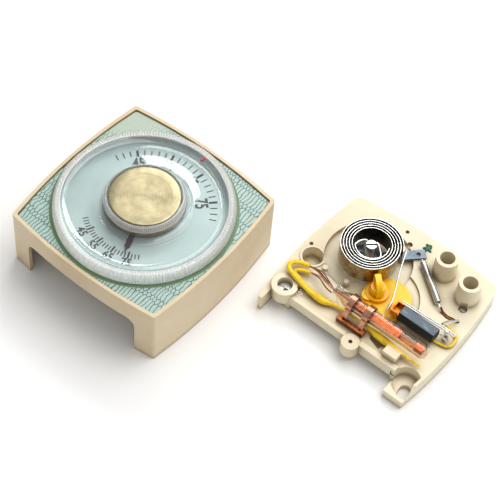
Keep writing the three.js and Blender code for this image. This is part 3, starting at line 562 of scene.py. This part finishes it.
# ---- gold disc ----
# The disc in the crown is thin aluminium, spun on a lathe so that its grooves run round, and anodised pale
# gold. The grooves spread the highlight out across the disc.
spun_gold, tree, shader = finish("spun_gold_anodised_aluminium")
place = add(tree, "TexCoord", {}).outputs["Object"]
middle = add(tree, "Mapping", {"Vector": place, "Location": (-COVER * MM).tolist()})
axes = add(tree, "SeparateXYZ", {"Vector": middle.outputs[0]})
flat_place = add(tree, "CombineXYZ", {"X": axes.outputs["X"], "Y": axes.outputs["Y"]})
reach = add(tree, "VectorMath", {0: flat_place.outputs[0]}, operation="LENGTH")
GROOVE = 0.5
grooves = add(tree, "TexNoise", {"W": reach.outputs["Value"], "Scale": 1 / (GROOVE * MM), "Detail": 3.0},
              noise_dimensions="1D")
blotch = add(tree, "TexNoise", {"Vector": place, "Scale": 260.0, "Detail": 3.0})
mixed = add(tree, "Math", {0: grooves.outputs[0], 1: 0.6, 2: blotch.outputs[0]}, operation="MULTIPLY_ADD")
amount = add(tree, "MapRange", {0: mixed.outputs[0], 1: 0.5, 2: 1.1, 3: 0.0, 4: 1.0})
colour = add(tree, "Mix", {0: amount.outputs[0], 6: linear("#C3B894"), 7: linear("#A09474")},
             data_type="RGBA")
gloss = add(tree, "MapRange", {0: grooves.outputs[0], 1: 0.3, 2: 0.7, 3: 0.28, 4: 0.42})
relief = add(tree, "Bump", {"Height": grooves.outputs[0], "Strength": 0.5, "Distance": 0.00005})
round_way = add(tree, "Tangent", {}, direction_type="RADIAL", axis="Z")
join(tree, shader, {"Base Color": colour.outputs[2], "Metallic": 1.0, "Roughness": gloss.outputs[0],
                    "Normal": relief.outputs[0], "Anisotropic": 0.85, "Tangent": round_way.outputs[0]})
disc_wall = [[0, 42.1], [16.4, 42.1], [16.4, 42.75], [15.9, 43.0], [13.0, 43.05], [0, 42.8]]
fit(turned("spun_dial_disc", soften(disc_wall, 0.2, 4), COVER, 128), spun_gold, "dial", "gold_disc",
    "dial_disc")

# ---- dial shaft ----
# A turned steel shaft pressed into the dial. Its lower end is a slotted sleeve that drops over the cam's tab.
bright_steel = drawn_metal("bright_turned_steel", "#F0F1EF", "#989C9B", 0.22, 0.4)
fit(refined("dial_shaft", "turned_dial_shaft", 0.15, 2), bright_steel, "dial", "bright_steel", "dial_shaft")

# ---- base moulding ----
# The base is one moulding in paler cream plastic: a plate on a low skirt, two hollow posts, screw bosses and
# recesses for the coil and the cam. Its edges are rounder than the cover's, and painted shade darkens the
# recesses.
pale_cream = moulded_plastic("pale_cream_thermoset", "#EDE3C6", "#E0D2B0", "#8A704F", 0.44, 0.05)
fit(refined("base_plate", "base_moulding", 0.55), pale_cream, "base", "pale_cream_plastic", "base_plate")

# ---- screws ----
# Zinc-plated steel screws: a wall screw deep in the tall boss, and two small ones that hold the works.
for node in ("wall_screw", "plate_screw_left", "plate_screw_right"):
    fit(refined(node, node + "_plated", 0.15, 2), bright_steel, "base", "bright_steel", node)

# ---- set-point cam ----
# One glossy moulding in bright yellow acetal: an eccentric disc, a hub with a low lobe, and the tall tab that
# the dial shaft straddles. Light goes a little way into it, so thin edges glow orange, and painted shade turns
# its creases orange.
acetal, tree, shader = finish("yellow_acetal")
place = add(tree, "TexCoord", {}).outputs["Object"]
cloud = add(tree, "TexNoise", {"Vector": place, "Scale": 160.0, "Detail": 2.0})
colour = add(tree, "Mix", {0: cloud.outputs[0], 6: linear("#FFD800"), 7: linear("#FBC400")}, data_type="RGBA")
skin = add(tree, "TexNoise", {"Vector": place, "Scale": 900.0, "Detail": 2.0})
relief = add(tree, "Bump", {"Height": skin.outputs[0], "Strength": 0.12, "Distance": 0.00005})
gloss = add(tree, "MapRange", {0: skin.outputs[0], 1: 0.3, 2: 0.7, 3: 0.22, 4: 0.34})
# Painted shade: the yellow turns orange in creases and corners that neighbouring walls close in.
crease_shaded_colour = sheltered(tree, 3.0, colour.outputs[2], "#E88400")
join(tree, shader, {"Base Color": crease_shaded_colour, "Roughness": gloss.outputs[0], "IOR": 1.48,
                    "Normal": relief.outputs[0], "Subsurface Weight": 0.2,
                    "Subsurface Radius": (1.0, 0.5, 0.08), "Subsurface Scale": 0.0025})
fit(refined("set_point_cam", "set_point_cam_moulding", 0.5, 4), acetal, "cam", "yellow_plastic",
    "set_point_cam")

# ---- arbor ----
# A split steel post carries the coil. Its blued arm is stamped from sheet and follows the cam; a bent spring
# strip joins the post to the coil's inner turn.
COIL = pivot["coil_turn"] * [1, 1, 0]
fit(refined("arbor_post", "arbor_post_split", 0.2, 3), bright_steel, "arbor", "bright_steel", "arbor_post")
coat(bright_steel, "arbor_lock_ring")
blued_steel = drawn_metal("blued_steel_strip", "#77828B", "#3E464E", 0.42, 0.6, (1.0, 0.25, 1.0), 0.6)
fit(refined("arbor_arm", "arbor_arm_stamped", 0.15, 2), blued_steel, "arbor", "grey_steel", "arbor_arm")


def ribbon(name, route, thickness, low, high, edge=0.1):
    """A strip on edge: a rectangle with soft corners carried along a plan route, sideways by the route's
    normal and upwards by height."""
    half = thickness / 2
    section = soften([[-half, low], [half, low], [half, high], [-half, high]], edge, 4, True)
    ahead = np.gradient(route, axis=0)
    ahead = ahead / np.linalg.norm(ahead, axis=1, keepdims=True)
    side = np.stack([-ahead[:, 1], ahead[:, 0]], -1)
    flat = route[:, None, :] + side[:, None, :] * section[None, :, :1]
    rise = np.broadcast_to(section[:, 1], flat.shape[:2])
    points = np.concatenate([flat, rise[..., None]], -1)
    rows, columns = flat.shape[:2]
    caps = [list(range(columns)), list(range((rows - 1) * columns, rows * columns))]
    return build(name, points, quads(rows, columns, False, True) + caps)


def flowing(points, steps=12):
    """A Catmull-Rom curve: cubic pieces through the points, with the slope at each point half the step
    between its neighbours."""
    p = np.asarray(points, float)
    p = np.vstack([2 * p[0] - p[1], p, 2 * p[-1] - p[-2]])
    t = np.linspace(0, 1, steps, endpoint=False)[None, :, None]
    a, b, c, d = (p[i:len(p) - 3 + i, None] for i in range(4))
    curve = b + 0.5 * ((c - a) * t + (2 * a - 5 * b + 4 * c - d) * t ** 2 + (3 * b - a - 3 * c + d) * t ** 3)
    return np.vstack([curve.reshape(-1, p.shape[1]), p[-2:-1]])


clip_bends = np.array([[0.8, 3.3], [2.4, 2.6], [4.6, 0.6], [6.6, -1.6], [6.4, -3.6], [3.4, -6.2], [0, -7.1],
                       [-3.4, -6.3], [-6.0, -4.2], [-5.8, -1.6], [-4.6, 0.6], [-3.2, 1.4]])
clip_strip = ribbon("coil_clip_strip", flowing(clip_bends + COIL[:2], 8), 0.5, 12.5, 20.6)
fit(clip_strip, bright_steel, "arbor", "spring_steel", "coil_clip")

# ---- bimetal coil ----
# Five turns of bimetal strip on edge. The outer face is the brassy side, the inner face is painted almost
# black as shade between the turns, and the sheared edges are bright, so from above the turns read as thin
# silver lines.
STRIP, TURNS, OUTER, INNER, FREE_END = 0.32, 5.0, 14.9, 8.3, math.radians(25)
along = np.linspace(0, 1, 600)
sweep = FREE_END + 2 * math.pi * TURNS * along
spiral = (OUTER + (INNER - OUTER) * along)[:, None] * np.stack([np.cos(sweep), np.sin(sweep)], -1)
coil = ribbon("bimetal_coil_strip", spiral + COIL[:2], STRIP, 11.6, 22.0, 0.06)
bimetal_edge = drawn_metal("bimetal_sheared_edge", "#F2F0EC", "#B8B4AC", 0.25, 0.5, stain=0.2)
bimetal_outer = drawn_metal("bimetal_brassy_side", "#B8A27C", "#5F4A2E", 0.3, 0.5, (1.0, 1.0, 0.2), 0.7)
bimetal_shade_side = drawn_metal("bimetal_painted_shade_side", "#3A332B", "#14110E", 0.35, 0.5, (1.0, 1.0, 0.2), 0.7)
fit(coil, bimetal_edge, "coil", "bimetal", "bimetal_coil")
coil.data.materials.append(bimetal_outer)
coil.data.materials.append(bimetal_shade_side)
coil_centre = Vector(COIL[:2] * MM)
# Faces turned towards the coil's centre take the almost black side, painted shade for the gaps between turns.
sides = [0 if abs(face.normal.z) > 0.5 else 1 if face.normal.xy.dot(face.center.xy - coil_centre) > 0 else 2
         for face in coil.data.polygons]
coil.data.polygons.foreach_set("material_index", sides)

# ---- wires ----
# Round wire, drawn and bent cold: a circle carried along a smooth route.


def wire(name, route, radius, sides=10, steps=10, sag=(0, 0, 1)):
    """A round wire: a circle square to the path at every point of a smooth curve through the route. radius
    may be one number or one for each route point."""
    curve = flowing(route, steps)
    ahead = np.gradient(curve, axis=0)
    ahead = ahead / np.linalg.norm(ahead, axis=1, keepdims=True)
    side = np.cross(ahead, sag)
    side = side / np.linalg.norm(side, axis=1, keepdims=True)
    over = np.cross(side, ahead)
    widths = flowing(np.broadcast_to(np.asarray(radius, float).reshape(-1, 1), (len(route), 1)), steps)
    angle = np.linspace(0, 2 * math.pi, sides, endpoint=False)[None, :, None]
    rings = side[:, None] * np.cos(angle) + over[:, None] * np.sin(angle)
    points = curve[:, None] + rings * widths[:, None]
    rows = len(curve)
    caps = [list(range(sides)), list(range((rows - 1) * sides, rows * sides))]
    return build(name, points, quads(rows, sides, False, True) + caps, 50)


tail_start = np.array([*(COIL[:2] - BASE[:2]), 0]) + [16.0 * math.cos(FREE_END), 16.0 * math.sin(FREE_END), 0]
tail_route = np.array([[*(tail_start[:2] + [-0.9, 2.2]), 20.2], [*tail_start[:2], 20.0], [3.2, 11.6, 18.6],
                       [6.0, 5.6, 16.8], [8.3, 0.4, 15.4], [9.0, -2.4, 14.4], [9.3, -5.4, 13.4]]) + BASE
# The wire is thicker over its last bend, where it meets the magnet.
TAIL_WIRE, TAIL_TIP = 0.42, 0.72
fit(wire("tail_wire_bent", tail_route, [TAIL_WIRE] * 5 + [TAIL_TIP] * 2), bright_steel, "coil",
    "bright_steel", "tail_wire")

# ---- arm spring ----
# A close-wound extension spring of fine steel wire, hooked through the hole in the arm and over its anchor.
ARM_END = np.array([4.9, 28.5, 11.6]) + BASE
ANCHOR_END = np.array([25.4, 13.5, 11.6]) + BASE
WINDS, SPRING_RADIUS, SPRING_WIRE = 46, 1.35, 0.24
run = ANCHOR_END - ARM_END
reach_unit = run / np.linalg.norm(run)
flank = np.cross(reach_unit, [0, 0, 1])
along = np.linspace(0.06, 0.94, WINDS * 14)[:, None]
phase = 2 * math.pi * WINDS * (along - 0.06) / 0.88
helix = ARM_END + run * along + SPRING_RADIUS * (flank * np.cos(phase) + np.array([0, 0, 1]) * np.sin(phase))
start_hook = [ARM_END + run * -0.035 + [0, 0, -0.9], ARM_END + run * 0.0 + [0, 0, 0.5], ARM_END + run * 0.045]
end_hook = [ANCHOR_END - run * 0.045, ANCHOR_END + run * 0.0, ANCHOR_END + run * 0.05 + [0, 0, -0.4]]
# The rings are squared to a direction that the winding never runs along, so that none of them flips.
leaning = tuple(flank * 0.4 + np.array([0.31, 0.17, 0.9]))
spring = wire("arm_spring_wound", np.vstack([start_hook, helix[::2], end_hook]), SPRING_WIRE, 6, 2, leaning)
spring.data.materials.append(bright_steel)
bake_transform(spring)
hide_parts("arm_spring")
old_copper = drawn_metal("tarnished_copper", "#A8683F", "#54301C", 0.3, 0.45, (0.3, 1.0, 1.0), 0.6)
anchor_route = np.array([[26.3, 13.1, 11.7], [27.3, 12.8, 11.0], [28.8, 12.2, 9.7], [31.0, 11.9, 9.2],
                         [34.2, 12.4, 9.2]]) + BASE
fit(wire("spring_anchor_bent", anchor_route, 0.55), old_copper, "base", "copper", "spring_anchor")

# ---- magnet and its lever ----
# A cast bar magnet with bevelled flanks, cemented into a copper carrier under amber varnish. A formed steel
# wire runs along it to the pivot.
cast_magnet, tree, shader = finish("cast_magnet_alloy")
place = add(tree, "TexCoord", {}).outputs["Object"]
rough_cast = add(tree, "TexNoise", {"Vector": place, "Scale": 1100.0, "Detail": 4.0})
# Painted highlight: pale streaks laid into the colour of its upward faces, where glare lies on the top.
streaks = add(tree, "Mapping", {"Vector": place, "Scale": (170.0, 900.0, 900.0)})
highlight_streak_noise = add(tree, "TexNoise", {"Vector": streaks.outputs[0], "Scale": 1.0, "Detail": 3.0})
painted_highlight_streaks = add(tree, "MapRange", {0: highlight_streak_noise.outputs[0], 1: 0.55, 2: 0.72, 3: 0.45, 4: 1.0})
facing = add(tree, "SeparateXYZ", {"Vector": add(tree, "NewGeometry", {}).outputs["Normal"]})
upper = add(tree, "MapRange", {0: facing.outputs["Z"], 1: 0.8, 2: 0.97, 3: 0.0, 4: 1.0})
amount = calc(tree, "MULTIPLY", upper.outputs[0], painted_highlight_streaks.outputs[0])
colour = add(tree, "Mix", {0: amount, 6: linear("#1D2328"), 7: linear("#73828E")}, data_type="RGBA")
relief = add(tree, "Bump", {"Height": rough_cast.outputs[0], "Strength": 0.35, "Distance": 0.00008})
gloss = add(tree, "MapRange", {0: rough_cast.outputs[0], 1: 0.3, 2: 0.7, 3: 0.34, 4: 0.55})
join(tree, shader, {"Base Color": colour.outputs[2], "Roughness": gloss.outputs[0], "Metallic": 0.35,
                    "Normal": relief.outputs[0]})
fit(refined("magnet", "magnet_bar", 0.2, 2), cast_magnet, "magnet_lever", "magnet", "magnet")
amber_copper = drawn_metal("amber_varnished_copper", "#D98A3A", "#7A3A12", 0.25, 0.6, stain=0.7)
fit(refined("magnet_carrier", "magnet_carrier_folded", 0.15, 2), amber_copper, "magnet_lever", "copper",
    "magnet_carrier")
HINGE = np.array([37.4, 1.6, 0.0]) + BASE
LEVER_WIRE = 0.38
lever_route = np.array([[12.8, 1.3, 15.9], [24, 1.7, 15.9], [33, 2.3, 15.8], [37.4, 2.8, 15.4],
                        [41.1, 2.5, 15]])
for name, aside in (("hinge_wire_upper_run", 0.4), ("hinge_wire_lower_run", -0.6)):
    leg_wire = wire(name, lever_route + BASE + [0, aside, 0], LEVER_WIRE, 12)
    fit(leg_wire, bright_steel, "magnet_lever", "bright_steel", *["hinge_wire"] * (aside > 0))
around_eye = np.linspace(0, 2 * math.pi, 12, endpoint=False)
eye = [[1.07 + 0.33 * math.cos(a), 15.4 + 0.4 * math.sin(a)] for a in around_eye]
fit(turned("hinge_wire_eye", np.array(eye), HINGE, 32, closed=True), bright_steel, "magnet_lever",
    "bright_steel")
coat(bright_steel, "hinge_pin")
fork_routes = {
    "hinge_fork_upper": [[33.2, 3.8, 15.4], [34, 7.4, 14], [35.4, 10.8, 12], [36.3, 13.2, 10.2]],
    "hinge_fork_lower": [[35.4, -0.6, 14.6], [37.6, -0.5, 13.1], [39.6, -0.3, 11.9]],
}
for node, route in fork_routes.items():
    fit(wire(node + "_bent", np.array(route) + BASE, 0.5), bright_steel, "base", "bright_steel", node)

# ---- glass contact tube ----
# A sealed tube of drawn soda glass, necked at the left where its leads enter. Inside, a copper blade on a
# steel support carries the armature; copper bands clip the tube to its bracket.
tube_low, tube_high = (np.array(corner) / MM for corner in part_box("glass_tube"))
tube_axis = (tube_low + tube_high) / 2
drawn_glass, tree, shader = finish("drawn_soda_glass")
place = add(tree, "TexCoord", {}).outputs["Object"]
cords = add(tree, "Mapping", {"Vector": place, "Scale": (40.0, 900.0, 900.0)})
streaks = add(tree, "TexNoise", {"Vector": cords.outputs[0], "Scale": 1.0, "Detail": 2.0})
gloss = add(tree, "MapRange", {0: streaks.outputs[0], 1: 0.4, 2: 0.8, 3: 0.0, 4: 0.05})
join(tree, shader, {"Base Color": linear("#EFDCCB"), "Roughness": gloss.outputs[0], "IOR": 1.52,
                    "Transmission Weight": 1.0})
open_shadow = add(tree, "BsdfTransparent", {"Color": (0.92, 0.9, 0.86, 1.0)})
ray = add(tree, "LightPath", {})
either = add(tree, "MixShader", {0: ray.outputs["Is Shadow Ray"], 1: shader.outputs[0],
                                 2: open_shadow.outputs[0]})
join(tree, tree.nodes["Material Output"], {"Surface": either.outputs[0]})
NECK, TUBE_RADIUS, BORE = 6.0, 3.5, 2.9
left, right = tube_low[0] + NECK, tube_high[0]
tube_wall = np.array([[0.7, left - NECK], [1.3, left - NECK], [1.5, left - 3], [TUBE_RADIUS, left + 1.4],
                      [TUBE_RADIUS, right - 1.6], [2.2, right], [0, right], [0, right - 0.8],
                      [BORE - 0.8, right - 0.8], [BORE, right - 1.8], [BORE, left + 1.8], [0.8, left - 2.6]])
profile = soften(tube_wall, 1.2, 6, True)
angle = np.linspace(0, 2 * math.pi, 64, endpoint=False)[:, None]
grid = np.stack([np.broadcast_to(profile[:, 1], (64, len(profile))),
                 tube_axis[1] + np.maximum(profile[:, 0], 0) * np.cos(angle),
                 tube_axis[2] + np.maximum(profile[:, 0], 0) * np.sin(angle)], -1)
fit(build("glass_tube_drawn", grid, quads(64, len(profile), True, True), 60), drawn_glass, "base", "glass",
    "glass_tube")
bright_copper = drawn_metal("rolled_copper_strip", "#C4764A", "#6E3218", 0.24, 0.5, (0.25, 1.0, 1.0), 0.4)
pink_copper = drawn_metal("annealed_copper_strip", "#D39F84", "#7E4227", 0.25, 0.5, (1.0, 0.4, 1.0), 0.45)
fit(refined("fixed_contact_blade", "fixed_contact_blade_rolled", 0.08, 2), bright_copper, "base", "copper",
    "fixed_contact_blade")
fit(refined("moving_contact_blade", "moving_contact_blade_rolled", 0.05, 2), old_copper, "base", "copper",
    "moving_contact_blade")
fit(refined("contact_armature", "contact_armature_block", 0.15, 2), bright_copper, "base", "copper",
    "contact_armature")
fit(refined("contact_support", "contact_support_folded", 0.1, 2), old_copper, "base", "bright_steel",
    "contact_support")
for node in ("tube_band_left", "tube_band_right"):
    fit(refined(node, node + "_strap", 0.12, 2), pink_copper, "base", "copper", node)
fit(refined("tube_bracket", "tube_bracket_stamped", 0.2, 3), old_copper, "base", "copper", "tube_bracket")

# ---- leads ----
# Yellow insulated leads run round the plate to the tube. Fine bare copper comes out of their stripped ends,
# and a thin bridge wire follows the tube.
insulation, tree, shader = finish("yellow_pvc_insulation")
place = add(tree, "TexCoord", {}).outputs["Object"]
grime_and_painted_shade = add(tree, "TexNoise", {"Vector": place, "Scale": 420.0, "Detail": 3.0})
amount = add(tree, "MapRange", {0: grime_and_painted_shade.outputs[0], 1: 0.45, 2: 0.75, 3: 0.0, 4: 1.0})
colour = add(tree, "Mix", {0: amount.outputs[0], 6: linear("#F7D417"), 7: linear("#D9AE10")},
             data_type="RGBA")
relief = add(tree, "Bump", {"Height": grime_and_painted_shade.outputs[0], "Strength": 0.15, "Distance": 0.00008})
join(tree, shader, {"Base Color": colour.outputs[2], "Roughness": 0.38, "Normal": relief.outputs[0],
                    "Subsurface Weight": 0.15, "Subsurface Radius": (1.0, 0.6, 0.1),
                    "Subsurface Scale": 0.0012})
lead_routes = {
    "lead_outer": [[-32, -9, 12.6], [-36.6, -10.2, 12.4], [-39.2, -13.2, 13], [-38, -16.8, 14],
                   [-32.4, -18.6, 13.4], [-23.3, -19.8, 12], [-16.5, -19.6, 11.6], [-10.4, -17.6, 11.4],
                   [-4, -17, 11.2], [6, -17, 11.2], [13, -17.8, 11.4], [20, -18.4, 11.8], [29.8, -18.9, 12],
                   [37.6, -18.9, 12]],
    "lead_inner": [[-29.6, -11.6, 12.4], [-33.4, -12.6, 11.8], [-35.6, -14.2, 11.4], [-35.2, -15.6, 11.2],
                   [-31.5, -16.6, 11], [-24.2, -18.2, 10.6], [-16, -17.6, 10.6]],
    "lead_right": [[33.2, 7, 10.6], [36, 6.9, 10.6], [38.8, 6.3, 10.6], [41, 4.7, 10.6], [41.8, 2.2, 10.6],
                   [41.6, -0.4, 10.6], [40, -2, 10.6], [37.4, -2.6, 10.6], [34, -3, 10.6], [30, -3.4, 10.6]],
}
for node, route in lead_routes.items():
    width = {"lead_outer": [1.15] * 6 + [1.6, 0.9, 0.7, 0.7, 1.7, 1.7, 0.7, 0.45], "lead_inner": 0.9,
             "lead_right": 0.6}[node]
    fit(wire(node + "_insulated", np.array(route) + BASE, width, 16), insulation, "base",
        "yellow_insulation", node)
BARE_WIRE, STRAND_WIRE = 0.33, 0.26
bare_routes = {
    "bare_lead_upper": [[-31.4, -8.9, 12.7], [-26, -9.6, 14.4], [-19.6, -12.4, 16.4], [-14.8, -14.4, 17],
                        [-4.6, -14.6, 17]],
    "bare_lead_lower": [[-28.9, -11.4, 12.6], [-24, -12.2, 14], [-18.6, -14.6, 14.6], [-14.6, -15.8, 15.6]],
}
for node, route in bare_routes.items():
    fit(wire(node + "_drawn", np.array(route) + BASE, BARE_WIRE), bright_copper, "base", "copper", node)
# Three loose strands lie beside them: one pink, one tinned and one tarnished dark.
strands = {
    "strand_pink": ([[-31.6, -9.2, 12.8], [-26, -10.4, 14.8], [-20, -13.2, 16.8], [-14.4, -14.6, 17.2]],
                    pink_copper),
    "strand_white": ([[-29.4, -11.2, 12.6], [-24, -11.6, 14.6], [-19, -13.6, 16.3], [-14.4, -14.9, 17]],
                     bright_steel),
    "strand_red": ([[-31.2, -8.7, 12.6], [-25, -8.4, 13.6], [-19.4, -11.4, 15.6], [-14.4, -14.3, 16.8]],
                   old_copper),
}
for name, (route, metal) in strands.items():
    fit(wire(name, np.array(route) + BASE, STRAND_WIRE), metal, "base", "copper")
bridge_route = [[-27.6, -6.4, 10.4], [-20, -8, 13.6], [-12, -10.6, 15.4], [-4, -10.2, 15.4], [3, -10.4, 15.2]]
fit(wire("bridge_wire_drawn", np.array(bridge_route) + BASE, BARE_WIRE), bright_steel, "base",
    "bright_steel", "bridge_wire")

# ---- locking paint ----
# Three dabs of dark green locking varnish, brushed on at the factory and dried in uneven blobs.
varnish, tree, shader = finish("green_locking_varnish")
place = add(tree, "TexCoord", {}).outputs["Object"]
pool = add(tree, "TexNoise", {"Vector": place, "Scale": 600.0, "Detail": 2.0})
colour = add(tree, "Mix", {0: pool.outputs[0], 6: linear("#063D2C"), 7: linear("#0F6A4C")}, data_type="RGBA")
join(tree, shader, {"Base Color": colour.outputs[2], "Roughness": 0.25})
PLATE_TOP = 9.5


def dab(name, x, y, radius, height, lobes, seed, ground=PLATE_TOP):
    """A low blob: height falls as the root of one minus the squared radius, and its edge is pushed in and out
    by a few waves round it."""
    random = np.random.default_rng(seed)
    angle = np.linspace(0, 2 * math.pi, 48, endpoint=False)[:, None]
    ring = np.linspace(0, 1, 12)[None, :]
    waves = sum(random.uniform(0.05, 0.2) * np.cos(k * angle + random.uniform(0, 6)) for k in range(2, lobes))
    reach = radius * ring * (1 + waves * ring)
    top = height * np.sqrt(np.maximum(1 - ring ** 2, 0)) + 0 * angle
    points = np.stack([x + reach * np.cos(angle), y + reach * np.sin(angle), ground - 0.05 + top], -1) + BASE
    rim = [[i * 12 + 11 for i in range(48)]]
    return build(name, points, quads(48, 12, True) + rim)


fit(dab("lock_paint_arm", 2.5, 37.1, 2.1, 0.9, 7, 4), varnish, "base", "pointer_paint")
fit(dab("lock_paint_fork", 36.3, 13.1, 0.8, 0.8, 5, 9), varnish, "base", "pointer_paint")
fit(dab("lock_paint_wall_screw", -33.6, -24.6, 1.1, 0.35, 6, 3, 8.6), varnish, "base", "pointer_paint")
